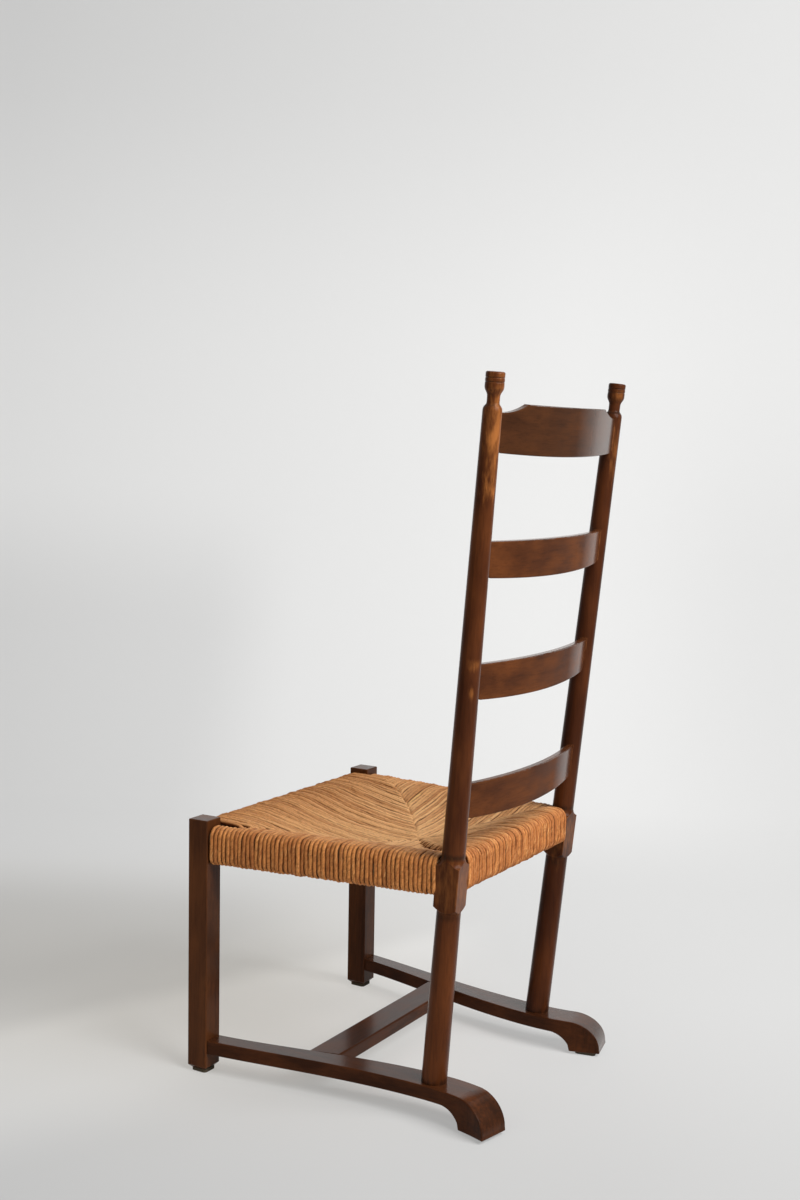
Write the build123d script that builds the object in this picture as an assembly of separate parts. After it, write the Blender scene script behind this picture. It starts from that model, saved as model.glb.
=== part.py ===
from build123d import *
from math import atan, cos, degrees, radians, sin, sqrt, tan
import os

# Low ladder-back chair: rush seat, turned rear posts, runner feet.
# Millimetres. The chair faces -Y, its own left side is +X and +Z is up.
# While it is built, its front legs are upright and the origin is midway between their feet.
# At the end the whole chair leans forward until its runners lie level on the floor.

# Lean of the front legs and the seat when the runners lie level, in degrees
frame_lean = 1.27

# Front legs
leg_side = 34.0
leg_height = 385.0
leg_half_spacing = 224.9
leg_arris = 1.6
leg_foot_chamfer = 5.0

# Felt pads under the four feet
pad_thick = 4.5
pad_corner = 5.0
leg_pad_side = 26.0
toe_pad_width = 38.0
toe_pad_length = 32.0

# Rear posts: a turned, tapered stick that leans back and outwards.
# The half spacing and the depth are taken where its axis meets the floor.
post_half_spacing = 167.8
post_depth = 361.9
post_rake = 5.19
post_splay = 2.09
post_foot_diameter = 37.0
post_foot_sink = 9.25
post_top_diameter = 26.4
post_shoulder_height = 990.0
post_tenon_diameter = 20.0
post_tenon_length = 15.0

# Square seat block left on each post, with turned shoulders
block_side = 35.0
block_bottom = 298.0
block_top = 374.0
block_turn = 3.0
block_lower_taper = 7.0
block_upper_cove = 10.0
block_cove_lip = 0.15
block_cove_lean = 0.25
block_arris = 1.6

# Turned finial on each post, heights counted from the post's shoulder
finial_round_drop = 2.0
finial_brow_diameter = 24.2
finial_brow_height = 2.5
finial_nape_diameter = 19.0
finial_nape_height = 5.8
finial_neck_diameter = 17.4
finial_neck_low = 8.5
finial_neck_high = 16.0
finial_bulb_diameter = 26.2
finial_bulb_height = 29.0
finial_height = 48.8
finial_edge = 2.6
finial_ring_heights = (35.0, 40.8)
finial_ring_width = 1.8
finial_ring_depth = 0.6

# Runners: sawn boards from the front legs to the scrolled toes
runner_thick = 20.8
runner_front_top = 51.5
runner_heel_top = 42.0
runner_front_width = 30.0
runner_waist_inset = 32.0
runner_waist_run = 163.0
runner_waist_width = 37.0
runner_post_width = 48.5
runner_ankle_run = 45.0
runner_ankle_width = 51.6
runner_ankle_flare = 2.5
runner_toe_run = 106.0
runner_toe_flare = 20.0
runner_toe_width = 55.0
runner_toe_skew = 0.21
runner_scroll_start = 58.0
runner_scroll_run = 52.0
runner_scroll_base = 0.5
runner_toe_end = 1.0
runner_cove_start = 29.0
runner_cove_run = 30.0
runner_cove_base = 4.5
runner_cove_bulge = 0.63
runner_heel_end = 2.5
runner_arris = 1.5
runner_tenon_width = 16.0
runner_tenon_height = 11.0
runner_tenon_length = 18.0

# Cross stretcher between the runners
stretcher_depth = 183.5
stretcher_width = 47.0
stretcher_thick = 20.5
stretcher_arris = 2.5
stretcher_tenon_width = 33.0
stretcher_tenon_thick = 10.0
stretcher_tenon_length = 15.0

# Back slats: bent boards between the posts, the highest one the crest
slat_thick = 9.5
slat_height = 54.0
slat_first = 425.0
slat_bow = 21.0
slat_set_back = 1.0
slat_belly = 3.5
slat_corner = 9.0
slat_arris = 1.4
slat_eased_from = 14.0
slat_tenon_past_axis = 4.0
crest_below_shoulder = 61.0
crest_height = 70.5
crest_ear_drop = 13.0
crest_ear_run = 61.0

# Seat rails, hidden in the rush
rail_width = 24.0
rail_height = 46.0
rail_round = 8.5
cross_rail_height = 350.5
side_rail_height = 346.5
rail_tenon_thick = 14.0
rail_tenon_height = 17.0
rail_tenon_length = 18.0
cross_tenon_lift = 9.5
side_tenon_drop = 10.5

# Rush seat
cord_diameter = 6.0
seat_centre_depth = 238.0
seat_centre_top = 341.5
seat_centre_bottom = 317.0
roll_flat = 6.0
roll_shoulder_run = 34.0
roll_shoulder_drop = 6.0

# How far the mitre wedges run on past the corners of the seat
mitre_reach = 1.4

# Clearances
tenon_play = 0.15
tenon_end_play = 0.6
rush_play = 0.3
packing_play = 0.4

# Worked out from the sizes above
leg_back = leg_side / 2
axis_slope = Vector(tan(radians(post_splay)), tan(radians(post_rake)), 1)
axis_stretch = axis_slope.length
toe_slope = runner_toe_flare / runner_scroll_run
above_runner = 2 * runner_front_top
slat_cut_reach = 4 * slat_bow
crest_bottom = post_shoulder_height - crest_below_shoulder
slat_step = (crest_bottom - slat_first) / 3
far = 2000.0


def post_point(height):
    """Point on the left post's axis at a height above the floor."""
    return Vector(post_half_spacing, post_depth, 0) + axis_slope * height


def runner_top(depth):
    """Height of the runner's top face at a distance behind the front legs."""
    run = post_foot_depth + runner_scroll_start - leg_back
    return runner_front_top + (runner_heel_top - runner_front_top) * (depth - leg_back) / run


def floor_level(depth):
    """Height of the floor under the leaning frame at a distance behind the front legs."""
    return -depth * tan(radians(frame_lean))


post_foot_depth = post_point(runner_heel_top).Y
post_foot_x = post_point(runner_heel_top).X
post_foot_height = runner_top(post_foot_depth)
toe_end = post_foot_depth + runner_scroll_start + runner_scroll_run
heel_end = post_foot_depth + runner_cove_start + runner_cove_run
toe_depth = (toe_end + heel_end) / 2
toe_bottom = floor_level(toe_depth) + pad_thick


def post_radius(height):
    """Radius of the straight taper from the runner to the shoulder."""
    share = (height - post_foot_height) / (post_shoulder_height - post_foot_height)
    return (post_foot_diameter + (post_top_diameter - post_foot_diameter) * share) / 2


# Frame of the left post: its Z runs up the turning axis, its X is square to the block
post_plane = Plane(
    origin=post_point(0),
    x_dir=(cos(radians(block_turn)), sin(radians(block_turn)), 0),
    z_dir=axis_slope,
)

# Frame of the ladder back: X across, Y up the slope, Z towards the sitter
back_plane = Plane(
    origin=(0, post_depth, 0),
    x_dir=(1, 0, 0),
    z_dir=(0, -cos(radians(post_rake)), sin(radians(post_rake))),
)


def both_ways(face, reach):
    """Solid of a face drawn out by the same reach on both sides."""
    return extrude(face, amount=reach, both=True)


def other_side(solid):
    return mirror(solid, about=Plane.YZ)


# Turned post

def turned_stick():
    """Stick and finial, turned about the post's axis in its own frame."""
    def at(diameter, height):
        return diameter / 2, height * axis_stretch

    def over(diameter, rise):
        return at(diameter, post_shoulder_height + rise)

    sunk = post_foot_height - post_foot_sink
    base = at(0, sunk)
    foot = at(2 * post_radius(sunk), sunk)
    round_start = post_shoulder_height - finial_round_drop
    collar = at(2 * post_radius(round_start), round_start)
    brow = over(finial_brow_diameter, finial_brow_height)
    nape = over(finial_nape_diameter, finial_nape_height)
    neck_low = over(finial_neck_diameter, finial_neck_low)
    neck_high = over(finial_neck_diameter, finial_neck_high)
    cheek = over(finial_bulb_diameter, finial_bulb_height)
    rings = []
    for ring in finial_ring_heights:
        rings.append(over(finial_bulb_diameter, ring - finial_ring_width / 2))
        rings.append(over(finial_bulb_diameter - 2 * finial_ring_depth, ring))
        rings.append(over(finial_bulb_diameter, ring + finial_ring_width / 2))
    edge_low = over(finial_bulb_diameter, finial_height - finial_edge)
    edge_high = over(finial_bulb_diameter - 2 * finial_edge, finial_height)
    crown = over(0, finial_height)
    profile = [
        Line(base, foot),
        Line(foot, collar),
        Spline([collar, brow, nape, neck_low], tangents=[(0, 1), (0, 1)]),
        Line(neck_low, neck_high),
        Spline([neck_high, cheek], tangents=[(0, 1), (0, 1)]),
        Polyline(cheek, *rings, edge_low),
        RadiusArc(edge_low, edge_high, -finial_edge),
        Line(edge_high, crown),
        Line(crown, base),
    ]
    return revolve(Plane.XZ * make_face(profile), axis=Axis.Z)


def seat_block():
    """Square block whose corners run out in a taper below and a cove above."""
    low = block_bottom * axis_stretch
    high = block_top * axis_stretch
    corner = block_side / sqrt(2)
    foot = (post_radius(block_bottom), low)
    head = (post_radius(block_top), high)
    taper = (corner, low + block_lower_taper)
    cove = (corner, high - block_upper_cove)
    profile = [
        Line((0, low), foot),
        Line(foot, taper),
        Line(taper, cove),
        Spline([cove, head], tangents=[(-1, block_cove_lip), (-block_cove_lean, 1)]),
        Line(head, (0, high)),
        Line((0, high), (0, low)),
    ]
    turned = revolve(Plane.XZ * make_face(profile), axis=Axis.Z)
    square = RectangleRounded(block_side, block_side, block_arris)
    return turned & Pos(0, 0, low) * extrude(square, high - low)


def post_tenon(play=0.0, end_play=0.0):
    """Round tenon that the post stands on in the runner."""
    length = post_tenon_length + end_play
    start = post_foot_height * axis_stretch - length
    lap = post_foot_diameter / 2
    peg = Cylinder(post_tenon_diameter / 2 + play, length + lap,
                   align=(Align.CENTER, Align.CENTER, Align.MIN))
    return post_plane * (Pos(0, 0, start) * peg)


post_body = post_plane * (turned_stick() + seat_block())


# Runner

def runner_edge(side):
    """Plan points of one edge of the left runner, side 1 outside and -1 inside."""
    stations = [
        (leg_half_spacing, leg_back, runner_front_width),
        (leg_half_spacing - runner_waist_inset, leg_back + runner_waist_run, runner_waist_width),
        (post_foot_x, post_foot_depth - runner_ankle_run / 2, runner_post_width),
        (post_foot_x + runner_ankle_flare, post_foot_depth + runner_ankle_run, runner_ankle_width),
        (post_foot_x + runner_toe_flare, post_foot_depth + runner_toe_run, runner_toe_width),
    ]
    return [(x + side * width / 2, y) for x, y, width in stations]


def runner_plan():
    """Outline of the left runner seen from above, run on past the toe."""
    edges = []
    for side in (1, -1):
        points = runner_edge(side)
        toe_x, toe_y = points[-1]
        points.append((toe_x + runner_toe_width * toe_slope, toe_y + runner_toe_width))
        edges.append(points)
    outer, inner = edges
    return make_face([
        Spline(outer),
        Line(outer[-1], inner[-1]),
        Spline(inner),
        Line(inner[0], outer[0]),
    ])


def runner_profile():
    """Outline of the runner seen from its side, as depth and height."""
    scroll = post_foot_depth + runner_scroll_start
    cove = post_foot_depth + runner_cove_start
    front = leg_back - leg_side
    front_low = (front, runner_top(front) - runner_thick)
    front_high = (front, runner_top(front))
    scroll_end = (toe_end, runner_scroll_base)
    scroll_height = runner_heel_top - runner_scroll_base
    toe = (toe_end + runner_toe_end, toe_bottom)
    heel = (heel_end + runner_heel_end, toe_bottom)
    cove_end = (heel_end, runner_cove_base)
    cove_top = (cove, runner_top(cove) - runner_thick)
    cove_height = cove_top[1] - runner_cove_base
    cove_mid = (
        cove + runner_cove_bulge * runner_cove_run,
        runner_cove_base + runner_cove_bulge * cove_height,
    )
    return make_face([
        Line(front_low, front_high),
        Line(front_high, (scroll, runner_heel_top)),
        EllipticalCenterArc((scroll, runner_scroll_base), runner_scroll_run, scroll_height),
        Polyline(scroll_end, toe, heel, cove_end),
        ThreePointArc(cove_end, cove_mid, cove_top),
        Line(cove_top, front_low),
    ])


def runner_board():
    """Runner without its joints: the plan shape cut to the side profile."""
    slab = extrude(Plane.YZ * runner_profile(), far, dir=(1, -runner_toe_skew, 0), both=True)
    return Pos(post_foot_x, 0, 0) * slab & both_ways(runner_plan(), above_runner)


def runner_tenon(play=0.0, end_play=0.0):
    """Tenon from the runner's front end into the leg."""
    length = runner_tenon_length + end_play
    centre = runner_top(leg_back) - runner_thick / 2
    lap = runner_tenon_length
    return Pos(leg_half_spacing, leg_back - length, centre) * Box(
        runner_tenon_width + 2 * play, length + lap, runner_tenon_height + 2 * play,
        align=(Align.CENTER, Align.MIN, Align.CENTER))


runner_body = fillet(runner_board().edges(), runner_arris)


# Cross stretcher

def stretcher_joint(play=0.0, end_play=0.0):
    """Bar through the stretcher whose ends are its two tenons."""
    inner = runner_edge(-1)
    near, past = inner[1], inner[2]
    share = (stretcher_depth - near[1]) / (past[1] - near[1])
    reach = near[0] + (past[0] - near[0]) * share + stretcher_tenon_length + end_play
    return Pos(0, stretcher_depth, stretcher_level) * Box(
        2 * reach, stretcher_tenon_width + 2 * play, stretcher_tenon_thick + 2 * play)


stretcher_level = runner_top(stretcher_depth) - stretcher_thick / 2


def stretcher_board():
    section = RectangleRounded(stretcher_width, stretcher_thick, stretcher_arris)
    bar = both_ways(Plane.YZ * section, leg_half_spacing - runner_waist_inset)
    bar = Pos(0, stretcher_depth, stretcher_level) * bar
    beyond = extrude(runner_plan(), above_runner)
    return bar - beyond - other_side(beyond) + stretcher_joint()


# Back slats

class Slat:
    """One bent slat: its place up the ladder back and its outline."""

    def __init__(self, name, bottom, height, eared=False):
        self.name = name
        self.low = bottom / cos(radians(post_rake))
        self.high = self.low + height
        self.eared = eared
        middle = (self.low + self.high) / 2 * cos(radians(post_rake))
        self.axis = post_point(middle).X
        rear_face = slat_thick / 2 + slat_set_back
        self.entry = self.axis - sqrt(post_radius(middle) ** 2 - rear_face ** 2)
        self.end_top = self.high - (crest_ear_drop if eared else 0)

    def sheet(self, thick):
        """Curved sheet that the slat is cut from, bowed away from the sitter."""
        radius = (self.axis ** 2 + slat_bow ** 2) / (2 * slat_bow)
        ring = Circle(radius + thick / 2) - Circle(radius - thick / 2)
        tall = self.high - self.low + 2 * slat_corner
        depth = radius - slat_bow - slat_set_back
        sheet = Pos(0, self.low - slat_corner, depth) * Rot(-90, 0, 0) * extrude(ring, tall)
        return back_plane * sheet

    def outline(self, play=0.0, end_play=0.0):
        """Face of the slat and its two tenons, with low corners that curve up into the tenons."""
        reach = self.axis + slat_tenon_past_axis + end_play
        level = self.low + slat_belly - play
        tenon_low = level + slat_corner
        top = self.high + play
        end_top = self.end_top + play
        start = self.entry - slat_corner
        bottom = ThreePointArc((-start, level), (0, self.low - play), (start, level))
        edges = [bottom]
        for side, along in ((1, bottom % 1), (-1, -(bottom % 0))):
            turn = (side * self.entry, (level + tenon_low) / 2)
            tenon = (side * (self.entry + slat_corner), tenon_low)
            edges.append(Spline([(side * start, level), turn, tenon], tangents=[along, (side, 0)]))
            edges.append(Polyline(tenon, (side * reach, tenon_low), (side * reach, end_top)))
        span = reach
        if self.eared:
            span = self.entry - crest_ear_run
            for side in (1, -1):
                ear = (side * self.entry, end_top)
                edges.append(Line((side * reach, end_top), ear))
                edges.append(TangentArc(ear, (side * span, top), tangent=(-side, 0)))
        edges.append(Line((-span, top), (span, top)))
        return make_face(edges)

    def blank(self, play=0.0, end_play=0.0):
        """Sharp-edged slat with its tenons, or with some play the room it takes in the posts."""
        block = back_plane * both_ways(self.outline(play, end_play), slat_cut_reach)
        return self.sheet(slat_thick + 2 * play) & block

    def solid(self):
        """Slat with every edge eased but the short ones through its thickness."""
        board = self.blank()
        return fillet(board.edges().filter_by(lambda e: e.length > slat_eased_from), slat_arris)


slats = [
    Slat("lower_slat", slat_first, slat_height),
    Slat("second_slat", slat_first + slat_step, slat_height),
    Slat("third_slat", slat_first + 2 * slat_step, slat_height),
    Slat("crest_slat", crest_bottom, crest_height, eared=True),
]


# Seat frame. A side is seen along its rail: X points into the seat, Y up.

class SeatSide:
    """One side of the seat: its rail, the rush over it and the packing."""

    def __init__(self, name, start, end, height, tenon_lift):
        self.name = name
        self.start = Vector(start.X, start.Y, 0)
        self.end = Vector(end.X, end.Y, 0)
        self.height = height
        self.tenon_lift = tenon_lift
        run = self.end - self.start
        self.length = run.length
        along = run.normalized()
        inward = Vector(0, 0, 1).cross(along)
        self.plane = Plane(origin=self.start + Vector(0, 0, height), x_dir=inward, z_dir=along)
        self.depth = (seat_centre - self.start).dot(inward)

    def tenons(self, play=0.0, end_play=0.0):
        """Bar through the rail whose ends are its two tenons."""
        reach = rail_tenon_length - leg_back + end_play
        bar = Rectangle(rail_tenon_thick + 2 * play, rail_tenon_height + 2 * play)
        bar = extrude(bar, self.length + 2 * reach)
        return self.plane * (Pos(0, self.tenon_lift, -reach) * bar)

    def rail(self):
        section = RectangleRounded(rail_width, rail_height, rail_round)
        bar = self.plane * extrude(section, self.length)
        for cut in frame_cuts:
            bar = bar - cut
        return bar + self.tenons()

    def roll_outline(self):
        """Section of the rush: a roll round the rail, then a sag to the seat's centre."""
        wide = rail_width / 2 + rush_play + cord_diameter
        tall = rail_height / 2 + rush_play + cord_diameter
        bend = rail_round + rush_play + cord_diameter
        top = seat_centre_top - self.height
        bottom = seat_centre_bottom - self.height
        crown = (roll_flat, tall)
        shoulder = (roll_flat + roll_shoulder_run, tall - roll_shoulder_drop)
        fall = TangentArc(crown, shoulder, tangent=(1, 0))
        return make_face([
            Line((0, -tall), (bend - wide, -tall)),
            RadiusArc((bend - wide, -tall), (-wide, bend - tall), bend),
            Line((-wide, bend - tall), (-wide, tall - bend)),
            RadiusArc((-wide, tall - bend), (bend - wide, tall), bend),
            Line((bend - wide, tall), crown),
            fall,
            TangentArc(shoulder, (self.depth, top), tangent=fall % 1),
            Line((self.depth, top), (self.depth, bottom)),
            Line((self.depth, bottom), (0, -tall)),
        ])

    def mitred(self, face, play):
        """Section drawn along the rail and mitred into its neighbours."""
        bar = self.plane * (Pos(0, 0, -leg_side) * extrude(face, self.length + 2 * leg_side))
        corners = [seat_centre + (corner - seat_centre) * mitre_reach for corner in (self.start, self.end)]
        wedge = extrude(make_face(Polyline(seat_centre, *corners, close=True)), 2 * leg_height)
        bar = bar & wedge
        for cut in corner_cuts(play):
            bar = bar - cut
        return bar

    def rush(self):
        outer = self.roll_outline()
        return self.mitred(outer - offset(outer, -cord_diameter), rush_play)

    def packing(self):
        """Loose rush stuffed between the rail and the two layers of cord."""
        pocket = offset(self.roll_outline(), -cord_diameter - packing_play)
        start = rail_width / 2 + packing_play
        window = Pos(start, 0) * Rectangle(far, far, align=(Align.MIN, Align.CENTER))
        return self.mitred(pocket & window, packing_play)


def block_prism(play=0.0, outwards=False):
    """Square prism of the seat block, or the whole outside quarter beyond it."""
    side = block_side + 2 * play
    spread = far if outwards else side
    box = Box(spread, spread, far, align=(Align.MIN, Align.MIN, Align.CENTER))
    return post_plane * (Pos(-side / 2, -side / 2, block_top) * box)


def leg_prism(play=0.0, outwards=False):
    """Square prism of the front leg, or the whole outside quarter beyond it."""
    side = leg_side + 2 * play
    spread = far if outwards else side
    box = Box(spread, spread, far, align=(Align.MIN, Align.MAX, Align.CENTER))
    return Pos(leg_half_spacing - side / 2, side / 2, 0) * box


def corner_cuts(play):
    cuts = [leg_prism(play, outwards=True), block_prism(play, outwards=True)]
    return cuts + [other_side(cut) for cut in cuts]


seat_centre = Vector(0, seat_centre_depth, 0)
front_left = Vector(leg_half_spacing, 0, 0)
front_right = Vector(-leg_half_spacing, 0, 0)
rear_left = post_point(side_rail_height)
rear_right = Vector(-rear_left.X, rear_left.Y, rear_left.Z)
frame_cuts = [leg_prism(), block_prism(), other_side(leg_prism()), other_side(block_prism())]

seat_sides = [
    SeatSide("front", front_right, front_left, cross_rail_height, cross_tenon_lift),
    SeatSide("left", front_left, rear_left, side_rail_height, -side_tenon_drop),
    SeatSide("rear", rear_left, rear_right, cross_rail_height, cross_tenon_lift),
    SeatSide("right", rear_right, front_right, side_rail_height, -side_tenon_drop),
]
front_side, left_side, rear_side, right_side = seat_sides


# Whole pieces of the left half, with the joints cut into them

def front_leg():
    stick = extrude(Rectangle(leg_side, leg_side), leg_height - pad_thick)
    stick = Pos(leg_half_spacing, 0, pad_thick) * stick
    stick = chamfer(stick.faces().sort_by(Axis.Z)[0].edges(), leg_foot_chamfer)
    stick = fillet(stick.edges().filter_by(Axis.Z), leg_arris)
    stick = fillet(stick.faces().sort_by(Axis.Z)[-1].edges(), leg_arris)
    stick = stick - runner_tenon(tenon_play, tenon_end_play)
    for side in (front_side, left_side):
        stick = stick - side.tenons(tenon_play, tenon_end_play)
    return stick


def rear_post():
    stick = post_body - runner_body + post_tenon()
    for slat in slats:
        stick = stick - slat.blank(tenon_play, tenon_end_play)
    for side in (rear_side, left_side):
        stick = stick - side.tenons(tenon_play, tenon_end_play)
    return stick


def runner():
    board = runner_body - leg_prism()
    board = board + runner_tenon()
    board = board - post_tenon(tenon_play, tenon_end_play)
    return board - stretcher_joint(tenon_play, tenon_end_play)


def pad(width, length):
    """Felt pad under a foot, left long enough to be cut off at the floor."""
    return extrude(RectangleRounded(width, length, pad_corner), -2 * pad_thick)


def leg_pad():
    return Pos(leg_half_spacing, 0, pad_thick) * pad(leg_pad_side, leg_pad_side)


def toe_pad():
    centre = Pos(post_foot_x + runner_toe_flare / 2, toe_depth, toe_bottom)
    turn = Rot(0, 0, -degrees(atan(runner_toe_skew)))
    return centre * turn * pad(toe_pad_width, toe_pad_length)


pieces = {}
for name, make in (
    ("front_leg", front_leg),
    ("rear_post", rear_post),
    ("runner", runner),
    ("front_pad", leg_pad),
    ("toe_pad", toe_pad),
):
    left = make()
    pieces[name + "_left"] = left
    pieces[name + "_right"] = other_side(left)
pieces["cross_stretcher"] = stretcher_board()
for slat in slats:
    pieces[slat.name] = slat.solid()
for side in seat_sides:
    pieces["seat_rail_" + side.name] = side.rail()
    pieces["rush_" + side.name] = side.rush()
    pieces["packing_" + side.name] = side.packing()

# The chair leans onto its runners, and its pads are cut off at the floor
under_floor = Box(far, far, far, align=(Align.CENTER, Align.CENTER, Align.MAX))
for name, piece in pieces.items():
    pieces[name] = Rot(frame_lean, 0, 0) * piece
    if "pad" in name:
        pieces[name] = pieces[name] - under_floor

# The origin goes on the floor at the middle of the chair's depth
box = Compound(list(pieces.values())).bounding_box()
to_origin = Pos(0, -(box.min.Y + box.max.Y) / 2, 0)
for name, piece in pieces.items():
    export_step(to_origin * piece, os.path.join("parts", name + ".step"))
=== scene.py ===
import math

import bpy
import numpy as np
from mathutils import Matrix, Vector


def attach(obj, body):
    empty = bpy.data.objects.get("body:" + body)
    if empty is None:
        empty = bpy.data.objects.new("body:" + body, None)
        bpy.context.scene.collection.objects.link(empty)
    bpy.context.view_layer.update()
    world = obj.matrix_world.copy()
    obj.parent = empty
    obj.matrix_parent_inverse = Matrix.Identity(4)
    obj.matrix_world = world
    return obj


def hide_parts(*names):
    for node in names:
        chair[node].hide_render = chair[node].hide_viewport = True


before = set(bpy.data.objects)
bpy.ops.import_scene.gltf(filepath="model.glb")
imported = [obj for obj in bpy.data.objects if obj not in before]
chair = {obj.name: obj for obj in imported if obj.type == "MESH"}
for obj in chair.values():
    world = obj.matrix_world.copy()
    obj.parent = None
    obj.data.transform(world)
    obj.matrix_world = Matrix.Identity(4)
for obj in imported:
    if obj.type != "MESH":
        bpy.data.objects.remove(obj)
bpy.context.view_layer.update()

# Sizes in metres, with the front legs upright and the origin midway between their feet.
# The matrix then leans the chair forward onto its level runners, as the solids are.
FRONT_FEET_Y, LEAN = -0.225463, math.radians(1.27)
stand = Matrix.Translation((0, FRONT_FEET_Y, 0)) @ Matrix.Rotation(LEAN, 4, "X")

# Axes of the rear posts: where they meet the floor, and how far they splay and rake
POST_FOOT_X, POST_FOOT_Y = 0.1678, 0.3619
POST_SPLAY, POST_RAKE = math.radians(2.09), math.radians(5.19)

# Seat: the corners where the rails' axes cross, the centre, and the heights of the rails
FRONT_X, REAR_X, REAR_Y = 0.2249, 0.180445, 0.393373
SEAT_CENTRE = np.array([0.0, 0.238])
CENTRE_TOP, CENTRE_BOTTOM = 0.3415, 0.317
CROSS_HEIGHT, SIDE_HEIGHT = 0.3505, 0.3465

# Rolls of rush round the rails, by their outer faces, and the shoulder inside them
ROLL_WIDE, ROLL_TALL, ROLL_BEND, ROLL_FLAT = 0.0183, 0.0293, 0.0148, 0.006
SHOULDER_RUN, SHOULDER_DROP = 0.034, 0.006

# Seams: the front ones bulge, and cords lap them, stray past them and dip into them
SEAM_BULGE, SEAM_SKEW, SEAM_POINTS = 0.032, 0.8, 60
SEAM_LAP, SEAM_STRAY, LEAST_REACH = 0.002, 0.0012, 0.012
SEAM_DIP, SEAM_DIP_RUN = 0.004, 0.004

# Cords: half sizes, how these vary, twist, stray in height, and room kept at a panel's ends
CORD_WIDE, CORD_THICK, CORD_SIZES = 0.0035, 0.0031, (0.9, 1.05)
TWIST_LOBES, TWIST_LENGTHS = 0.07, (0.05, 0.085)
CORD_STRAY, CORD_SUNK = 0.0004, 0.0006
END_ROOM = 0.0176
RING_SIDES, RING_STEP, LEAST_RINGS = 10, 0.004, 12
SECTION_STEP, BEND_POINTS = 0.0008, 16
UV_LENGTH, UV_APART = 0.01, 4

# Slow swings along a cord as pairs of wave length and size, and the range of their phases
SIDE_SWING = (0.11, 0.0004), (0.045, 0.00018)
LIFT_SWING = (0.08, 0.0002), (0.03, 0.00012)
SIZE_SWING = (0.026, 0.04), (0.012, 0.025)
TONE_SWING = (0.11, 0.1), (0.043, 0.07)
PHASES = 0, 7

# Tints: spread of the cords' tones, the cord that ends in paler straw, and how the seat is made paler, by
# bleaching and painted light:
# where it faces up and lies inside the roll, each as start and run, and by tone and depth, each as least and gain;
# the gain with depth is painted light towards the centre
TONE_SPREAD = 1.3, 1.3
STRAW_CORDS = {"right": (33,)}
STRAW_LONG, STRAW_FADE, STRAW_TINT = 0.045, 0.015, 0.7
PALE_FACING, PALE_INSIDE = (0.3, 0.5), (-0.014, 0.016)
PALE_BY_TONE, PALE_BY_DEPTH = (0.4, 1.2), (0.35, 1.25)

# Wood tones: dark, middle and warm
POST = (0.044, 0.0115, 0.0035, 1), (0.071, 0.0195, 0.0056, 1), (0.095, 0.027, 0.0072, 1)
# The far post: the post's tones made darker, as painted shade
SHADED_FAR_POST = (0.028, 0.0074, 0.0025, 1), (0.048, 0.0126, 0.0038, 1), (0.068, 0.0185, 0.005, 1)
LEG = (0.047, 0.0147, 0.0052, 1), (0.079, 0.0256, 0.0082, 1), (0.1, 0.0325, 0.0097, 1)
RUNNER = (0.026, 0.0082, 0.0032, 1), (0.049, 0.015, 0.0051, 1), (0.072, 0.0215, 0.0066, 1)
SLAT = (0.042, 0.0126, 0.0042, 1), (0.065, 0.0196, 0.0062, 1), (0.1, 0.0305, 0.0086, 1)
CREST = (0.03, 0.0103, 0.0037, 1), (0.046, 0.0158, 0.0056, 1), (0.064, 0.0218, 0.007, 1)
BARE = (0.32, 0.2, 0.1, 1), (0.45, 0.29, 0.16, 1), (0.52, 0.34, 0.19, 1)
# Rubbed colour, the dark colour of grime and painted shade, and worn edges
RUBBED, SHADE_AND_GRIME, WORN_EDGE = (0.34, 0.12, 0.03, 1), (0.012, 0.0055, 0.003, 1), (0.18, 0.064, 0.022, 1)

# Scales that draw the grain and its mottle out along one axis
UPRIGHT, ACROSS, BACKWARD = (1, 1, 0.05), (0.05, 1, 1), (1, 0.05, 1)
TALL_MOTTLE, WIDE_MOTTLE, LONG_MOTTLE = (1, 1, 0.35), (0.45, 1, 1), (1, 0.4, 1)

# Weight of the varnish: two slants of the surface to the view, then the weight at each
UPRIGHT_GLOSS = 0.3, 0.85, 0.07, 0.6
RUNNER_GLOSS, STRETCHER_GLOSS = (0.35, 0.7, 0.05, 1.0), (0.45, 0.8, 0.05, 0.8)
SLAT_GLOSS, CREST_GLOSS = (0.7, 0.8, 0.0, 1.0), (0.61, 0.7, 0.0, 1.0)
VARNISH_IOR, SLAT_VARNISH_IOR = 1.5, 1.8

# Painted shade and grime round a post as height, half height and strength: the finial's grooves and neck, then
# the top and foot of the seat block and the joint with the runner. Also the worn seat block.
POST_SHADE_AND_GRIME = ((1.025, 0.0013, 0.75), (1.0308, 0.0013, 0.75), (0.9945, 0.0035, 0.7),
              (0.377, 0.006, 0.85), (0.291, 0.008, 0.5), (0.044, 0.009, 0.7))
BLOCK_RUB = 0.334, 0.045, 0.27
RING_HALF = 0.05

# Painted shade on the rear face of the left front leg, and a darker patch on the left toe, as middle, half sizes
# and strength
LEG_SHADE = (FRONT_X, 0.017, 0.2), (0.04, 0.004, 0.3), 0.4
TOE_DARKENING = (0.182, 0.462, 0.02), (0.06, 0.035, 0.04), 0.55

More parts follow.
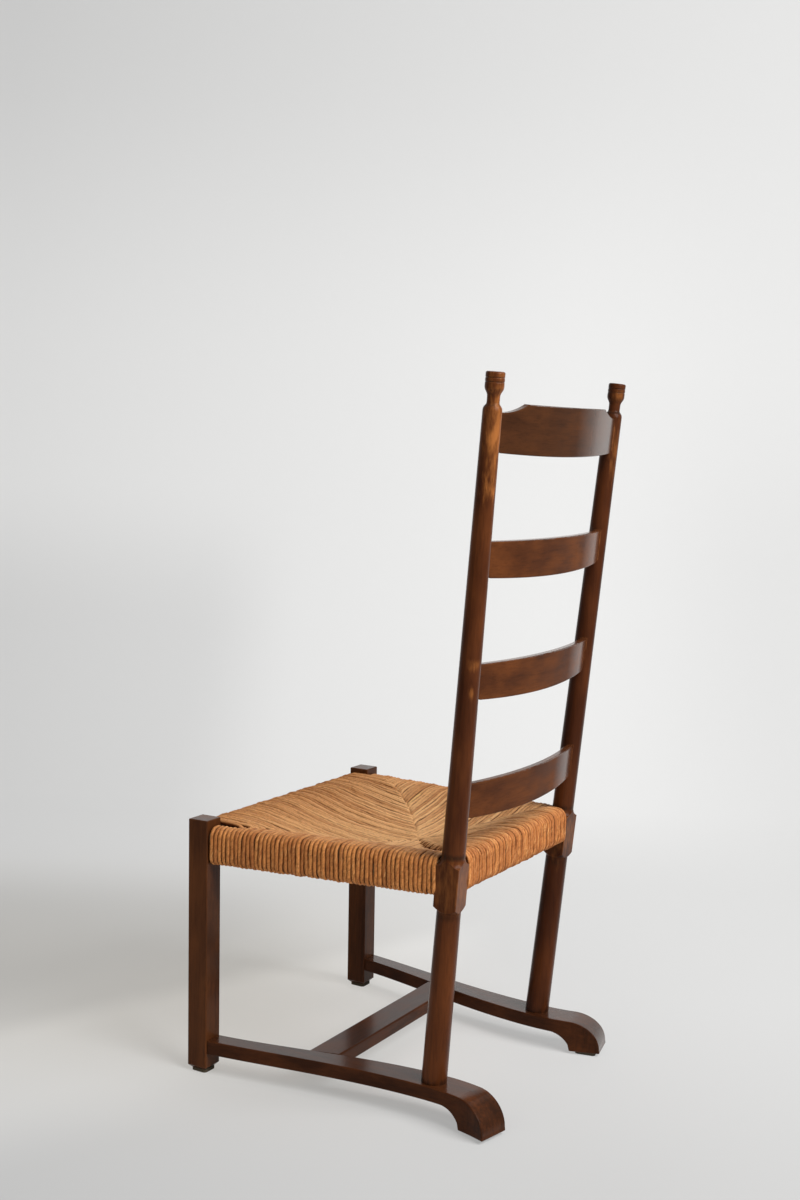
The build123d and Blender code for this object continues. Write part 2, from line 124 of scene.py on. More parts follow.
# Patches of a post rubbed by hands and walls, as middle, half sizes and strength
LEFT_RUBS = (
    ((0.2075, 0.46144, 0.955), (0.02, 0.019, 0.085), 0.55),
    ((0.2115, 0.46194, 0.952), (0.009, 0.014, 0.02), 0.5),
    ((0.207, 0.45394, 0.885), (0.009, 0.016, 0.016), 0.65),
    ((0.203, 0.43344, 0.645), (0.012, 0.012, 0.011), 0.35),
    ((0.201, 0.43044, 0.605), (0.004, 0.008, 0.014), 0.45),
    ((0.207, 0.46744, 1.033), (0.02, 0.02, 0.006), 0.25),
    ((0.207, 0.46744, 1.016), (0.02, 0.02, 0.007), 0.2),
)
RIGHT_RUBS = (
    ((-0.196, 0.46244, 0.93), (0.014, 0.014, 0.05), 0.25),
    ((-0.194, 0.46744, 1.02), (0.014, 0.02, 0.012), 0.3),
)

# Rush tones
RUSH_BROWN, RUSH_GOLD = (0.3, 0.084, 0.017, 1), (0.6, 0.225, 0.058, 1)
RUSH_STREAK, RUSH_STRAW, RUSH_TWIST = (0.68, 0.31, 0.1, 1), (0.82, 0.5, 0.2, 1), (0.2, 0.056, 0.012, 1)
RUSH_YELLOW, RUSH_BLEACHED_AND_LIT = (0.74, 0.47, 0.14, 1), (0.8, 0.45, 0.2, 1)
RUSH_SPLIT, RUSH_CREVICE_SHADE = (0.14, 0.04, 0.009, 1), (0.075, 0.019, 0.0042, 1)

SIDES = "front", "left", "rear", "right"


# Shader nodes

def put(tree, kind, sockets=None, **settings):
    """Adds a node, sets its own settings, then sets or links each named socket."""
    made = tree.nodes.new(kind)
    for name, value in settings.items():
        setattr(made, name, value)
    for name, value in (sockets or {}).items():
        if isinstance(value, bpy.types.NodeSocket):
            tree.links.new(value, made.inputs[name])
        else:
            made.inputs[name].default_value = value
    return made


def calc(tree, operation, a, b):
    return put(tree, "ShaderNodeMath", {0: a, 1: b}, operation=operation).outputs[0]


def times(tree, a, b):
    return calc(tree, "MULTIPLY", a, b)


def plus(tree, a, b):
    return calc(tree, "ADD", a, b)


def vector(tree, operation, a, b=(0, 0, 0)):
    """One step of vector maths: a number for a length or dot product, else a vector."""
    made = put(tree, "ShaderNodeVectorMath", {0: a, 1: b}, operation=operation)
    return made.outputs["Value" if operation in ("LENGTH", "DOT_PRODUCT") else "Vector"]


def stretch(tree, value, low, high, out_low=0.0, out_high=1.0):
    sockets = {"Value": value, "From Min": low, "From Max": high, "To Min": out_low, "To Max": out_high}
    return put(tree, "ShaderNodeMapRange", sockets).outputs[0]


def ease(tree, value, low, high):
    """Soft step from 0 at low to 1 at high."""
    sockets = {"Value": value, "From Min": low, "From Max": high}
    return put(tree, "ShaderNodeMapRange", sockets, interpolation_type="SMOOTHSTEP").outputs[0]


def area(tree, first, *others):
    """Soft mask: the product of soft steps, each given as a value with its low and high."""
    mask = ease(tree, *first)
    for step in others:
        mask = times(tree, mask, ease(tree, *step))
    return mask


def mix(tree, share, a, b, mode="MIX"):
    made = put(tree, "ShaderNodeMix", {0: share, 6: a, 7: b}, data_type="RGBA", blend_type=mode)
    return made.outputs[2]


def over(tree, base, mask, strength, colour):
    """Lays a colour over a base as far as a mask and a strength allow."""
    return mix(tree, times(tree, mask, strength), base, colour)


def noise(tree, where, scale, detail=3.0, rough=0.55, bend=0.0):
    sockets = {"Vector": where, "Scale": scale, "Detail": detail, "Roughness": rough, "Distortion": bend}
    return put(tree, "ShaderNodeTexNoise", sockets).outputs[0]


def own_place(tree):
    return put(tree, "ShaderNodeTexCoord").outputs["Object"]


def bump(tree, height, strength, distance):
    sockets = {"Strength": strength, "Distance": distance, "Height": height}
    return put(tree, "ShaderNodeBump", sockets).outputs[0]


def looked_at(tree):
    """1 for what the camera, gloss or glass sees, 0 for light that bounces."""
    path = put(tree, "ShaderNodeLightPath").outputs
    seen = calc(tree, "MAXIMUM", path["Is Glossy Ray"], path["Is Transmission Ray"])
    return calc(tree, "MAXIMUM", path["Is Camera Ray"], seen)


def effect(name, takes, gives):
    """New node group with named sockets: its tree, what comes in and where it goes out."""
    tree = bpy.data.node_groups.new(name, "ShaderNodeTree")
    for label, kind, value in takes:
        tree.interface.new_socket(label, in_out="INPUT", socket_type=kind).default_value = value
    for label, kind in gives:
        tree.interface.new_socket(label, in_out="OUTPUT", socket_type=kind)
    return tree, tree.nodes.new("NodeGroupInput").outputs, tree.nodes.new("NodeGroupOutput").inputs


def use(tree, group, **sockets):
    return put(tree, "ShaderNodeGroup", sockets, node_tree=group).outputs


FLOAT, COLOUR, VECTOR = "NodeSocketFloat", "NodeSocketColor", "NodeSocketVector"


def make_grain():
    """Stained grain that runs along one axis: colour, roughness and pore height."""
    tree, took, out = effect("stained grain", [
        ("Along", VECTOR, (1, 1, 1)), ("Mottle", VECTOR, (1, 1, 1)), ("Start", VECTOR, (0, 0, 0)),
        ("Dark", COLOUR, (0, 0, 0, 1)), ("Middle", COLOUR, (0, 0, 0, 1)), ("Warm", COLOUR, (0, 0, 0, 1)),
    ], [("Colour", COLOUR), ("Roughness", FLOAT), ("Height", FLOAT)])
    place = vector(tree, "ADD", own_place(tree), took["Start"])
    lengthwise = vector(tree, "MULTIPLY", place, took["Along"])
    streaks = noise(tree, lengthwise, scale=70.0, detail=5.0, rough=0.6, bend=0.4)
    fibres = noise(tree, lengthwise, scale=420.0, rough=0.6)
    clouds = noise(tree, vector(tree, "MULTIPLY", place, took["Mottle"]), scale=26.0, rough=0.5)
    tone = mix(tree, stretch(tree, streaks, 0.3, 0.7), took["Dark"], took["Middle"])
    tone = mix(tree, stretch(tree, clouds, 0.4, 0.66), tone, took["Warm"])
    pores = stretch(tree, fibres, 0.36, 0.5)
    shade = put(tree, "ShaderNodeCombineColor", {i: stretch(tree, pores, 0, 1, 0.82, 1.0) for i in range(3)})
    tone = mix(tree, 1.0, tone, shade.outputs[0], "MULTIPLY")
    tree.links.new(tone, out["Colour"])
    tree.links.new(stretch(tree, clouds, 0.3, 0.7, 0.34, 0.5), out["Roughness"])
    tree.links.new(pores, out["Height"])
    return tree


def make_edge_wear():
    """Mask of the arrises where the staining is rubbed thin."""
    tree, took, out = effect("rubbed edges", [("Reach", FLOAT, 0.003)], [("Mask", FLOAT)])
    soft = put(tree, "ShaderNodeBevel", {"Radius": took["Reach"]}, samples=6).outputs[0]
    hard = put(tree, "ShaderNodeNewGeometry").outputs["Normal"]
    match = vector(tree, "DOT_PRODUCT", soft, hard)
    patchy = stretch(tree, noise(tree, own_place(tree), scale=38.0, detail=4.0), 0.42, 0.7)
    tree.links.new(times(tree, stretch(tree, match, 0.985, 0.9), patchy), out["Mask"])
    return tree


def make_spot_mask():
    """Mask of one patch with a ragged rim, for rubbed wear and for grime and painted shade."""
    tree, took, out = effect("patch of wear and shade", [
        ("Where", VECTOR, (0, 0, 0)), ("Size", VECTOR, (1, 1, 1))], [("Mask", FLOAT)])
    place = own_place(tree)
    away = vector(tree, "SUBTRACT", place, took["Where"])
    far = vector(tree, "LENGTH", vector(tree, "DIVIDE", away, took["Size"]))
    upright = vector(tree, "MULTIPLY", place, (1, 1, 0.25))
    ragged = stretch(tree, noise(tree, upright, scale=190.0), 0.28, 0.72, -0.5, 0.5)
    near = stretch(tree, plus(tree, far, ragged), 1.1, 0.2)
    tree.links.new(calc(tree, "POWER", near, 1.5), out["Mask"])
    return tree


def make_fibre():
    """Dry fibres along a twisted cord and painted shade between cords, from the cord's own running coordinates."""
    tree, took, out = effect("rush fibre", [("Lay", FLOAT, 1.0)], [
        (label, FLOAT) for label in ("Streak", "Straw", "Height", "Split", "Crevice shade", "Twist")])
    running = put(tree, "ShaderNodeUVMap", uv_map="along_cord").outputs[0]
    around, along = put(tree, "ShaderNodeSeparateXYZ", {0: running}).outputs[:2]

    def drawn_out(lay, across, lengthwise):
        slanted = plus(tree, around, times(tree, along, lay))
        sockets = {0: times(tree, slanted, across), 1: times(tree, along, lengthwise)}
        return put(tree, "ShaderNodeCombineXYZ", sockets).outputs[0]

    where = drawn_out(took["Lay"], across=7.0, lengthwise=0.3)
    broad = noise(tree, where, scale=1.0, detail=4.0, rough=0.62)
    fine = noise(tree, vector(tree, "MULTIPLY", where, (4.0, 3.0, 1.0)), scale=1.0, rough=0.6)
    blades = noise(tree, vector(tree, "MULTIPLY", where, (1.7, 0.8, 1.0)), scale=1.0, detail=2.0, rough=0.5)
    strands = noise(tree, drawn_out(0.5, across=3.0, lengthwise=1.6), scale=1.0, rough=0.6)
    crown = calc(tree, "COSINE", times(tree, around, 2 * math.pi), 0.0)
    uneven = stretch(tree, broad, 0.3, 0.7, -0.12, 0.12)
    tree.links.new(stretch(tree, broad, 0.28, 0.72), out["Streak"])
    tree.links.new(stretch(tree, blades, 0.6, 0.72), out["Straw"])
    tree.links.new(plus(tree, times(tree, broad, 0.7), times(tree, fine, 0.3)), out["Height"])
    tree.links.new(stretch(tree, fine, 0.45, 0.33), out["Split"])
    tree.links.new(stretch(tree, strands, 0.48, 0.62), out["Twist"])
    # Painted shade on the sides of each cord, between it and its neighbours
    tree.links.new(stretch(tree, plus(tree, crown, uneven), 0.8, 0.12), out["Crevice shade"])
    return tree


grain, edge_wear, spot_mask, fibre = make_grain(), make_edge_wear(), make_spot_mask(), make_fibre()


# Materials

def new_material(name):
    made = bpy.data.materials.new(name)
    made.use_nodes = True
    tree = made.node_tree
    return made, tree, tree.nodes["Principled BSDF"].inputs


def stained_wood(name, along, mottle, tones, start=(0, 0, 0), spots=(), edges=0.6, gloss=UPRIGHT_GLOSS,
                 varnish=VARNISH_IOR):
    """Dark stained wood under satin varnish, with its grain along one axis, rubbed in spots and darkened in others
    with grime and painted shade.
    """
    made, tree, shader = new_material(name)
    tone = use(tree, grain, Along=along, Mottle=mottle, Start=start, Dark=tones[0], Middle=tones[1], Warm=tones[2])
    worn = use(tree, edge_wear, Reach=0.003)["Mask"]
    colour = over(tree, tone["Colour"], worn, edges, WORN_EDGE)
    # Each spot lays its colour: rubbed colour, or the dark colour of grime and painted shade
    for where, size, strength, spot_tint in spots:
        patch = use(tree, spot_mask, Where=stand @ Vector(where), Size=size)["Mask"]
        colour = over(tree, colour, patch, strength, spot_tint)
    slant = put(tree, "ShaderNodeLayerWeight", {"Blend": 0.5}).outputs["Facing"]
    tree.links.new(colour, shader["Base Color"])
    tree.links.new(tone["Roughness"], shader["Roughness"])
    tree.links.new(bump(tree, tone["Height"], strength=0.1, distance=0.0004), shader["Normal"])
    tree.links.new(stretch(tree, slant, *gloss), shader["Coat Weight"])
    shader["Specular IOR Level"].default_value = 0.04
    shader["Coat Roughness"].default_value = 0.16
    shader["Coat IOR"].default_value = varnish
    return made


def bare_wood():
    """Plain sawn wood, hidden in the seat."""
    made, tree, shader = new_material("bare rail")
    tone = use(tree, grain, Along=ACROSS, Mottle=WIDE_MOTTLE, Dark=BARE[0], Middle=BARE[1], Warm=BARE[2])
    tree.links.new(tone["Colour"], shader["Base Color"])
    shader["Roughness"].default_value = 0.7
    return made


def rush_cord():
    """Twisted dry rush, golden brown, each cord with its own tone."""
    made, tree, shader = new_material("rush cord")
    own = put(tree, "ShaderNodeAttribute", attribute_name="cord_tint").outputs["Color"]
    pale, yellow, bleached_and_lit = put(tree, "ShaderNodeSeparateColor", {0: own}).outputs[:3]
    dry = use(tree, fibre, Lay=0.16)
    tone = mix(tree, pale, RUSH_BROWN, RUSH_GOLD)
    tone = over(tree, tone, dry["Streak"], 0.45, RUSH_STREAK)
    tone = over(tree, tone, dry["Straw"], 0.55, RUSH_STRAW)
    tone = over(tree, tone, dry["Twist"], 0.55, RUSH_TWIST)
    tone = mix(tree, yellow, tone, RUSH_YELLOW)
    # Bleaching and painted light: paler where the cords face up, more so towards the centre
    tone = mix(tree, bleached_and_lit, tone, RUSH_BLEACHED_AND_LIT)
    tone = over(tree, tone, dry["Split"], 0.7, RUSH_SPLIT)
    # Painted shade between cords
    tone = over(tree, tone, dry["Crevice shade"], 0.9, RUSH_CREVICE_SHADE)
    tree.links.new(tone, shader["Base Color"])
    tree.links.new(stretch(tree, dry["Streak"], 0, 1, 0.75, 0.55), shader["Roughness"])
    tree.links.new(bump(tree, dry["Height"], strength=0.6, distance=0.0012), shader["Normal"])
    shader["Specular IOR Level"].default_value = 0.2
    return made


def matted(name, low, high, scale):
    """Matted fibres: packed broken rush, or felt."""
    made, tree, shader = new_material(name)
    tufts = noise(tree, own_place(tree), scale, detail=6.0, rough=0.7, bend=0.8)
    tree.links.new(mix(tree, stretch(tree, tufts, 0.3, 0.7), low, high), shader["Base Color"])
    tree.links.new(bump(tree, tufts, strength=0.7, distance=0.001), shader["Normal"])
    shader["Roughness"].default_value = 0.95
    return made


def paint(material, slot, *names):
    for name in names:
        piece = chair[name]
        piece.data.materials.clear()
        piece.data.materials.append(material)


def ring(side, height, half):
    """Band round a post at a height: its middle on the post's axis and its half sizes."""
    out = POST_FOOT_X + height * math.tan(POST_SPLAY)
    back = POST_FOOT_Y + height * math.tan(POST_RAKE)
    return (side * out, back, height), (RING_HALF, RING_HALF, half)


def post_spots(side, rubs):
    """Painted shade and grime in the turned grooves and at the joints, and where hands and walls have rubbed the
    staining away.
    """
    spots = [(*ring(side, height, half), strength, SHADE_AND_GRIME) for height, half, strength in POST_SHADE_AND_GRIME]
    height, half, strength = BLOCK_RUB
    spots.append((*ring(side, height, half), strength, RUBBED))
    return spots + [(*rubbed, RUBBED) for rubbed in rubs]


def dark_patch(side, middle, size, strength):
    """Dark patch on either side of the chair, from its place on the left, in the colour of grime and painted
    shade.
    """
    return (side * middle[0], *middle[1:]), size, strength, SHADE_AND_GRIME


for side, end, tones, rubs, start in (
        (1, "left", POST, LEFT_RUBS, (0.37, 0, 0)), (-1, "right", SHADED_FAR_POST, RIGHT_RUBS, (0, 0.41, 0))):
    post = stained_wood("post " + end, UPRIGHT, TALL_MOTTLE, tones, start, post_spots(side, rubs), edges=0.8)
    paint(post, "stained_wood", "rear_post_" + end)
    leg = stained_wood("leg " + end, UPRIGHT, TALL_MOTTLE, LEG, start, [dark_patch(side, *LEG_SHADE)])
    paint(leg, "stained_wood", "front_leg_" + end)
    toe = dark_patch(side, *TOE_DARKENING)
    runner = stained_wood("runner " + end, BACKWARD, LONG_MOTTLE, RUNNER, start, [toe], gloss=RUNNER_GLOSS)
    paint(runner, "stained_wood", "runner_" + end)
stretcher = stained_wood("stretcher", ACROSS, WIDE_MOTTLE, RUNNER, gloss=STRETCHER_GLOSS)
paint(stretcher, "stained_wood", "cross_stretcher")
for turn, (name, tones, gloss) in enumerate((
        ("lower_slat", SLAT, SLAT_GLOSS), ("second_slat", SLAT, SLAT_GLOSS),
        ("third_slat", SLAT, SLAT_GLOSS), ("crest_slat", CREST, CREST_GLOSS))):
    slat = stained_wood(name.replace("_", " "), ACROSS, WIDE_MOTTLE, tones, (0, 0, 0.31 * turn),
                        gloss=gloss, varnish=SLAT_VARNISH_IOR)
    paint(slat, "stained_wood", name)
packing = matted("packing", (0.03, 0.011, 0.004, 1), (0.13, 0.055, 0.02, 1), scale=160.0)
paint(packing, "rush_packing", *("packing_" + side for side in SIDES))
felt = matted("felt", (0.03, 0.022, 0.014, 1), (0.11, 0.085, 0.05, 1), scale=900.0)
paint(felt, "felt", "front_pad_left", "front_pad_right", "toe_pad_left", "toe_pad_right")
paint(bare_wood(), "bare_wood", *("seat_rail_" + side for side in SIDES))


# Rush seat: every cord is wound over its rail, from the seam on top to the seam below

LEANED = np.array(stand.to_3x3())


def ramp(value, start, run):
    """Rises from 0 at a start to 1 at the end of a run."""
    return np.clip((value - start) / run, 0, 1)


def seam(corner):
    """Plan line of a mitre from a corner to the centre. The front ones bulge towards the side panels."""
    share = np.linspace(0, 1, SEAM_POINTS)[:, None]
    run = SEAT_CENTRE - corner
    side = np.array([-run[1], run[0]]) / np.linalg.norm(run)
    swell = -np.sign(corner[0]) * SEAM_BULGE if corner[1] < SEAT_CENTRE[1] else 0.0
    return corner + run * share + side * swell * np.sin(math.pi * share ** SEAM_SKEW)


class Panel:
    """One mitred panel: its rail, its seams and its cords."""

    def __init__(self, name, start, end, height, count, seed, bleach, darker=0.0):
        self.name, self.height, self.count, self.bleach, self.darker = name, height, count, bleach, darker
        self.start, self.end = np.array(start), np.array(end)
        self.length = np.linalg.norm(self.end - self.start)
        self.along = (self.end - self.start) / self.length
        self.inward = np.array([-self.along[1], self.along[0]])
        self.centre = (SEAT_CENTRE - self.start) @ self.along
        self.depth = (SEAT_CENTRE - self.start) @ self.inward
        self.chance = np.random.default_rng(seed)
        line = np.vstack([seam(self.start), seam(self.end)[::-1]]) - self.start
        self.seam_along, self.seam_in = line @ self.along, line @ self.inward

    def top(self, inward):
        """Height of the seat over the rail: an arc over the roll's shoulder, then one that sags to the centre."""
        past = np.clip(inward - ROLL_FLAT, 0, None)
        radius = (SHOULDER_RUN ** 2 + SHOULDER_DROP ** 2) / (2 * SHOULDER_DROP)
        shoulder = ROLL_TALL - radius + np.sqrt(radius ** 2 - np.clip(past, 0, SHOULDER_RUN) ** 2)
        slope = 2 * math.atan2(SHOULDER_DROP, SHOULDER_RUN)
        run = self.depth - ROLL_FLAT - SHOULDER_RUN
        drop = ROLL_TALL - SHOULDER_DROP - (CENTRE_TOP - self.height)
        hollow = math.hypot(run, drop) / (2 * math.sin(slope - math.atan2(drop, run)))
        beyond = np.clip(past - SHOULDER_RUN, 0, None) - hollow * math.sin(slope)
        sag = ROLL_TALL - SHOULDER_DROP + hollow * math.cos(slope) - np.sqrt(hollow ** 2 - beyond ** 2)
        return np.where(past < SHOULDER_RUN, shoulder, sag)

    def bottom(self, inward):
        """Depth of the seat under the rail, from the foot of the roll straight to the centre."""
        return -ROLL_TALL + (CENTRE_BOTTOM - self.height + ROLL_TALL) * np.clip(inward, 0, None) / self.depth

    def section(self, reach, mitre):
        """Points of one cord's middle line as distance inwards and height over the rail."""
        bend, edge = ROLL_BEND - CORD_THICK, ROLL_BEND - ROLL_WIDE
        straight = ROLL_TALL - ROLL_BEND
        inward = np.arange(reach, edge, -SECTION_STEP)
        dip = SEAM_DIP * np.exp(-((reach - inward) / SEAM_DIP_RUN) ** 2)
        deep = edge + (inward - edge) * (min(reach, mitre) - edge) / (reach - edge)
        above = np.column_stack([inward, self.top(deep) - CORD_THICK - dip])
        below = np.column_stack([inward, self.bottom(deep) + CORD_THICK + dip])[::-1]
        turn = np.linspace(math.pi / 2, math.pi, BEND_POINTS)[:, None]
        upper = np.hstack([edge + bend * np.cos(turn), straight + bend * np.sin(turn)])
        lower = np.hstack([edge + bend * np.cos(-turn), -straight + bend * np.sin(-turn)])[::-1]
        return np.vstack([above, upper, lower, below])

    def waves(self, along, swing):
        """Slow uneven swing along a cord, a sum of sines of chance phase."""
        return sum(size * np.sin(2 * math.pi * along / length + self.chance.uniform(*PHASES))
                   for length, size in swing)

    def tint(self, number, tone, swing, reach, inward, facing):
        """Tint along one cord: how pale it is, how straw yellow, and how much paler where it faces up, by
        bleaching and painted light.
        """
        deep = np.clip(inward / self.depth, 0, 1)
        pale = np.clip(tone - self.darker * (1 - deep) + swing, 0, 1)
        yellow = ramp(inward - reach, -STRAW_LONG, STRAW_FADE) * (facing > 0)
        yellow *= STRAW_TINT if number in STRAW_CORDS.get(self.name, ()) else 0.0
        upper = ramp(facing, *PALE_FACING) * ramp(inward, *PALE_INSIDE)
        by_tone = PALE_BY_TONE[0] + PALE_BY_TONE[1] * tone
        by_depth = PALE_BY_DEPTH[0] + PALE_BY_DEPTH[1] * deep
        bleached_and_lit = self.bleach * upper * by_tone * by_depth
        return np.column_stack([pale, yellow, np.clip(bleached_and_lit, 0, 1)])

    def cord(self, number, where, tone):
        """Rings of one cord with its running coordinates and its tint."""
        chance = self.chance
        reach = np.interp(where, self.seam_along, self.seam_in) + SEAM_LAP + chance.normal(0, SEAM_STRAY)
        reach = max(reach, LEAST_REACH)
        mitre = np.interp(where, [0, self.centre, self.length], [0, self.depth, 0])
        line = self.section(reach, mitre)
        gone = np.concatenate([[0], np.cumsum(np.linalg.norm(np.diff(line, axis=0), axis=1))])
        along = np.linspace(0, gone[-1], max(int(gone[-1] / RING_STEP), LEAST_RINGS))
        middle = np.column_stack([np.interp(along, gone, line[:, i]) for i in range(2)])
        ahead = np.gradient(middle, axis=0)
        ahead /= np.linalg.norm(ahead, axis=1)[:, None]
        out = np.column_stack([ahead[:, 1], -ahead[:, 0]])
        aside = self.waves(along, SIDE_SWING) + where
        lift = self.waves(along, LIFT_SWING) + chance.normal(0, CORD_STRAY) - CORD_SUNK
        size = chance.uniform(*CORD_SIZES) * (1 + self.waves(along, SIZE_SWING))
        twist = chance.uniform(*TWIST_LENGTHS)
        lay = 2 * math.pi * along / twist * chance.choice([-1, 1]) + chance.uniform(*PHASES)
        angle = np.linspace(0, 2 * math.pi, RING_SIDES, endpoint=False)
        lobes = size[:, None] * (1 + TWIST_LOBES * np.cos(2 * angle[None, :] - lay[:, None]))
        rise = lift[:, None] + CORD_THICK * lobes * np.cos(angle)
        shift = aside[:, None] + CORD_WIDE * lobes * np.sin(angle)
        inward = middle[:, :1] + out[:, :1] * rise
        height = middle[:, 1:] + out[:, 1:] * rise + self.height
        plan = self.start + shift[..., None] * self.along + inward[..., None] * self.inward
        points = np.concatenate([plan, height[..., None]], axis=2) @ LEANED.T + stand.translation
        tint = self.tint(number, tone, self.waves(along, TONE_SWING), reach, middle[:, 0], out[:, 1])
        return points, along, tint

    def places(self):
        gap = (self.length - 2 * END_ROOM) / self.count
        return END_ROOM + gap * (np.arange(self.count) + 0.5)

    def mesh(self):
        """All the panel's cords, with their running coordinates and tints."""
        corners, quads, caps, running, tints, first = [], [], [], [], [], 0
        for number, where in enumerate(self.places()):
            points, along, tint = self.cord(number, where, self.chance.beta(*TONE_SPREAD))
            rings = len(points)
            corners.append(points.reshape(-1, 3))
            tints.append(np.repeat(tint, RING_SIDES, axis=0))
            row, side = np.meshgrid(np.arange(rings - 1), np.arange(RING_SIDES), indexing="ij")
            this, after = row * RING_SIDES, (side + 1) % RING_SIDES
            following = this + RING_SIDES
            quad = np.stack([this + side, this + after, following + after, following + side], -1)
            quads.append(first + quad.reshape(-1, 4))
            turn = np.stack([side, side + 1, side + 1, side], -1) / RING_SIDES
            length = np.stack([along[row], along[row], along[row + 1], along[row + 1]], -1) / UV_LENGTH
            running.append(np.stack([turn + UV_APART * number, length], -1).reshape(-1, 2))
            caps.append(list(range(first + RING_SIDES - 1, first - 1, -1)))
            caps.append(list(range(first + (rings - 1) * RING_SIDES, first + rings * RING_SIDES)))
            first += rings * RING_SIDES
        made = bpy.data.meshes.new("rush_cords_" + self.name)
        made.from_pydata(np.vstack(corners), [], np.vstack(quads).tolist() + caps)
        running, tints = np.vstack(running), np.vstack(tints)
        flat = np.zeros((len(made.loops), 2), np.float32)
        flat[:len(running)] = running
        made.uv_layers.new(name="along_cord").data.foreach_set("uv", flat.ravel())
        colours = np.column_stack([tints, np.ones(len(tints))]).astype(np.float32)
        made.color_attributes.new("cord_tint", "FLOAT_COLOR", "POINT").data.foreach_set("color", colours.ravel())
        made.shade_smooth()
        return made


cord_finish = rush_cord()
front_left, front_right = (FRONT_X, 0), (-FRONT_X, 0)
rear_left, rear_right = (REAR_X, REAR_Y), (-REAR_X, REAR_Y)
panels = [
    Panel("front", front_right, front_left, CROSS_HEIGHT, count=61, seed=11, bleach=0.7),
    Panel("left", front_left, rear_left, SIDE_HEIGHT, count=53, seed=23, bleach=0.55, darker=0.15),
    Panel("rear", rear_left, rear_right, CROSS_HEIGHT, count=48, seed=37, bleach=0.9, darker=0.4),
    Panel("right", rear_right, front_right, SIDE_HEIGHT, count=53, seed=41, bleach=0.9),
]
for panel in panels:
    cords = bpy.data.objects.new("rush_cords_" + panel.name, panel.mesh())
    bpy.context.scene.collection.objects.link(cords)
    cords.data.materials.append(cord_finish)
    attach(cords, "root")
    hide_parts("rush_" + panel.name)


# Camera at the photograph's place, with the lens in millimetres

YAW, PITCH, TILT = math.radians(239.786), math.radians(-5.721), math.radians(0.9995)
CAMERA_PLACE = 2.083238, 1.410589, 0.946453
SENSOR_TALL, FOCAL_LENGTH = 36.0, 47.741

ahead = Vector((math.sin(YAW) * math.cos(PITCH), math.cos(YAW) * math.cos(PITCH), math.sin(PITCH)))
level = Vector((math.cos(YAW), -math.sin(YAW), 0))
raised = level.cross(ahead)
right = level * math.cos(TILT) + raised * math.sin(TILT)
up = raised * math.cos(TILT) - level * math.sin(TILT)
lens = bpy.data.cameras.new("camera")
lens.sensor_fit = "VERTICAL"
lens.sensor_height, lens.lens = SENSOR_TALL, FOCAL_LENGTH
camera = bpy.data.objects.new("camera", lens)
facing = Matrix((right, up, -ahead)).transposed().to_4x4()
camera.matrix_world = stand @ Matrix.Translation(CAMERA_PLACE) @ facing
bpy.context.scene.collection.objects.link(camera)
bpy.context.scene.camera = camera


# Pale paper sweep: floor, bend and wall, square to the view

SWEEP_FRONT, SWEEP_TURN, SWEEP_BEND, SWEEP_TALL = -5.0, 1.5, 0.9, 4.5
SWEEP_LEFT, SWEEP_RIGHT = -3.2, 2.4
BEND_START, BEND_STEPS = 0.08, 20
EMISSION_SHARE = 0.66

view = stand.to_3x3() @ ahead
back = Vector((view.x, view.y, 0)).normalized()
across = Vector((back.y, -back.x, 0))


def paper_sweep():
    outline = [(SWEEP_FRONT, 0.0), (SWEEP_TURN, 0.0)]
    outline += [(SWEEP_TURN + SWEEP_BEND * math.sin(a), SWEEP_BEND - SWEEP_BEND * math.cos(a))
                for a in np.linspace(BEND_START, math.pi / 2, BEND_STEPS)]
    outline.append((SWEEP_TURN + SWEEP_BEND, SWEEP_TALL))
    corners = [back * run + across * side + Vector((0, 0, high))
               for run, high in outline for side in (SWEEP_LEFT, SWEEP_RIGHT)]
    faces = [(2 * i, 2 * i + 1, 2 * i + 3, 2 * i + 2) for i in range(len(outline) - 1)]
    made = bpy.data.meshes.new("paper_sweep")
    made.from_pydata(corners, [], faces)
    made.shade_smooth()
    return made


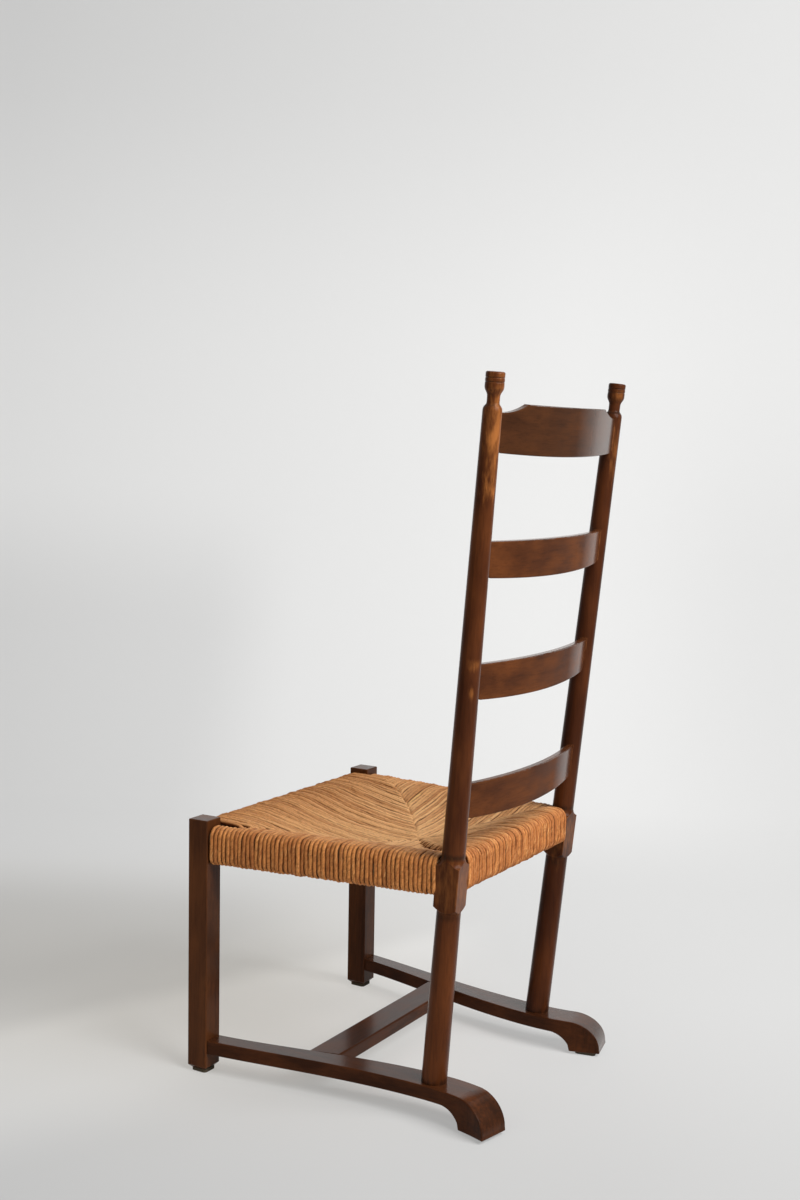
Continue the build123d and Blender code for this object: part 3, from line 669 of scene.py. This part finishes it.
def pale_paper():
    """Matt paper, two thirds of it an emitted tone for camera and gloss, with painted light in that tone: paler to
    the right and to the back and darker high up, with painted shadow, painted glow and a painted bounce of warmer
    light.
    """
    made, tree, shader = new_material("pale paper")
    place = own_place(tree)
    aside, behind = vector(tree, "DOT_PRODUCT", place, across), vector(tree, "DOT_PRODUCT", place, back)
    tall = put(tree, "ShaderNodeSeparateXYZ", {0: place}).outputs[2]
    edge = calc(tree, "SUBTRACT", behind, times(tree, aside, 0.8))
    # Painted light: paler to the back and to the right, and darker high up on the wall
    painted_grey = plus(tree, stretch(tree, behind, -0.6, 0.3, 0.46, 0.65), stretch(tree, behind, 0.3, 1.6, 0, 0.16))
    painted_grey = plus(tree, painted_grey, stretch(tree, aside, -1.2, 1.2, -0.12, 0.13))
    painted_grey = calc(tree, "SUBTRACT", painted_grey, stretch(tree, tall, 0.9, 1.9, 0, 0.045))
    for amount, steps in (
            # painted shadow on the floor at the left, and a painted lit strip before it
            (-0.13, [(edge, 0.5, 0.9), (behind, 1.05, 0.65), (aside, -0.1, -0.45)]),
            (0.12, [(edge, 0.62, 0.48), (edge, -0.05, 0.25), (aside, 0.2, -0.02)]),
            # painted shade on the floor in front, at the right
            (-0.05, [(aside, -0.1, 0.35), (behind, 0.3, -0.4)]),
            # painted glow in the middle of the wall, and painted shade at its foot at the left and right
            (0.11, [(aside, 1.15, 0.4), (tall, 2.2, 1.1), (behind, 0.9, 1.7)]),
            (-0.13, [(aside, -0.3, -0.65), (tall, 0.8, 0.35), (behind, 1.0, 1.7)]),
            (-0.08, [(aside, 0.3, 1.2), (tall, 1.3, 0.5)])):
        painted_grey = plus(tree, painted_grey, times(tree, area(tree, *steps), amount))
    # Painted bounce of warmer light in the shade near the chair: less green and blue
    painted_bounce = area(tree, (aside, 0.3, -0.3), (behind, 1.2, 0.3), (behind, -0.5, 0.1))
    green = times(tree, painted_grey, stretch(tree, painted_bounce, 0, 1, 1.0, 0.965))
    blue = times(tree, painted_grey, stretch(tree, painted_bounce, 0, 1, 0.992, 0.9))
    tone = put(tree, "ShaderNodeCombineColor", {0: painted_grey, 1: green, 2: blue}).outputs[0]
    shader["Base Color"].default_value = (0.74, 0.74, 0.735, 1)
    shader["Roughness"].default_value = 0.95
    shader["Specular IOR Level"].default_value = 0.05
    emitted = put(tree, "ShaderNodeEmission", {"Color": tone, "Strength": 1.0}).outputs[0]
    lit = tree.nodes["Principled BSDF"].outputs[0]
    both = put(tree, "ShaderNodeMixShader", {0: times(tree, looked_at(tree), EMISSION_SHARE), 1: lit, 2: emitted})
    tree.links.new(both.outputs[0], tree.nodes["Material Output"].inputs["Surface"])
    return made


sweep = bpy.data.objects.new("paper_sweep", paper_sweep())
sweep.data.materials.append(pale_paper())
bpy.context.scene.collection.objects.link(sweep)


# Soft window behind the chair, a weak fill from its left and front, and a room that lights
# the chair dimly but looks pale to the camera and in gloss

ROOM_LIGHT, ROOM_LOOK = 0.07, 0.5
LAMP_AIM = Vector((0, 0, 0.45))


def soft_lamp(name, towards, distance, size, power):
    light = bpy.data.lights.new(name, "AREA")
    light.shape, light.size, light.energy = "DISK", size, power
    lamp = bpy.data.objects.new(name, light)
    lamp.location = LAMP_AIM + towards.normalized() * distance
    lamp.rotation_euler = towards.to_track_quat("Z", "Y").to_euler()
    bpy.context.scene.collection.objects.link(lamp)
    return lamp


soft_lamp("window", Vector((0.09, 0.73, 0.67)), distance=3.0, size=2.4, power=150.0)
fill = soft_lamp("fill", Vector((0.9, -0.3, 0.55)), distance=3.2, size=2.6, power=19.0)
fill.visible_glossy = False
room = bpy.data.worlds.new("room")
room.use_nodes = True
air = room.node_tree.nodes["Background"].inputs
air["Color"].default_value = (1.0, 0.99, 0.97, 1)
strength = stretch(room.node_tree, looked_at(room.node_tree), 0, 1, ROOM_LIGHT, ROOM_LOOK)
room.node_tree.links.new(strength, air["Strength"])
bpy.context.scene.world = room
bpy.context.scene.view_settings.view_transform = "Standard"
